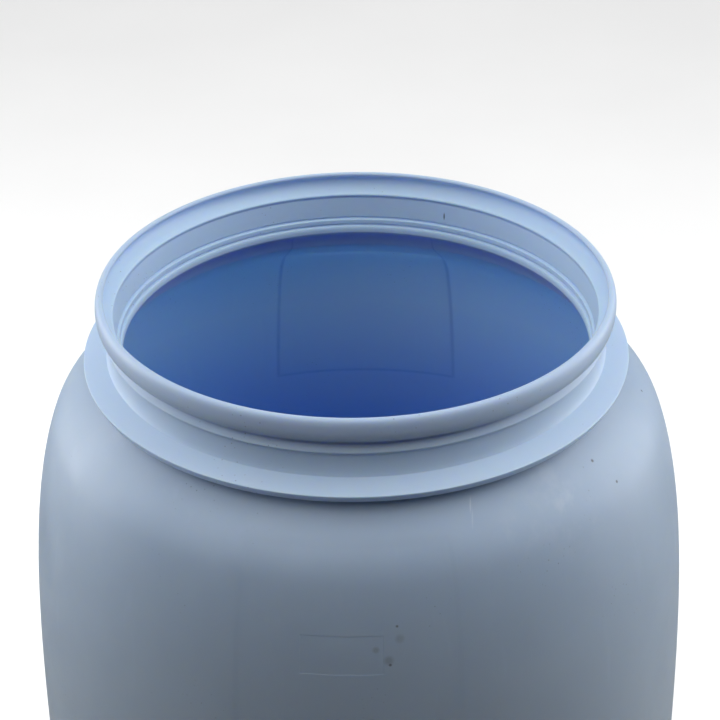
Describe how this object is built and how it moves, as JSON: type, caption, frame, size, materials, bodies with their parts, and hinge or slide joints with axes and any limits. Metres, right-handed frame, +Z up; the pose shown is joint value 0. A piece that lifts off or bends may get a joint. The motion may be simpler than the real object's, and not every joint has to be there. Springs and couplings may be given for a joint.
{
  "type": "open head plastic drum",
  "caption": "Open-head plastic drum with beaded rim and transport flange, standing open; its lid, gasket and lever-lock closing ring lie stacked beside it.",
  "frame": {"origin": "centre of the drum's base, on the plane of its foot ring", "axes": "+Z up along the drum's axis, -Y towards the drum's front, the lid and ring lie at +Y"},
  "size_m": [0.49, 0.9378, 0.8],
  "materials": {
    "drum_plastic": "satin blow-moulded polyethylene, pale grey-blue",
    "lid_plastic": "satin injection-moulded polyethylene, grey-blue",
    "gasket_rubber": "matt black rubber",
    "galvanised_band": "galvanised rolled steel strip",
    "galvanised_fittings": "zinc-plated pressed steel",
    "rivet_steel": "zinc-plated steel, slightly darker"
  },
  "bodies": {
    "drum": {"drum_body": "drum_plastic"},
    "lid": {"lid_panel": "lid_plastic", "lid_gasket": "gasket_rubber"},
    "ring": {"ring_band": "galvanised_band", "lever_bracket": "galvanised_fittings", "hook_bracket": "galvanised_fittings", "bracket_rivets": "rivet_steel", "seal_lug": "galvanised_fittings", "lever_pivot_rivets": "rivet_steel"},
    "lever": {"lever": "galvanised_fittings", "link_pivot_rivet": "rivet_steel"},
    "link": {"link": "galvanised_fittings", "link_crossbar": "rivet_steel"}
  },
  "joints": [
    {"name": "lid_lift", "type": "slide", "parent": "drum", "child": "lid", "axis": [0, 0, 1], "range_m": [0, 0.5]},
    {"name": "ring_lift", "type": "slide", "parent": "lid", "child": "ring", "axis": [0, 0, 1], "range_m": [0, 0.3]},
    {"name": "lever_swing", "type": "hinge", "parent": "ring", "child": "lever", "pos_m": [0.02578, 0.68581, 0.0344], "axis": [0, 0, 1], "range_deg": [0, 165]},
    {"name": "link_swing", "type": "hinge", "parent": "lever", "child": "link", "pos_m": [0.0435, 0.68265, 0.0344], "axis": [0, 0, 1], "range_deg": [-165, 0]}
  ],
  "couplings": [
    {"joint": "link_swing", "follows": "lever_swing", "ratio": -1}
  ]
}
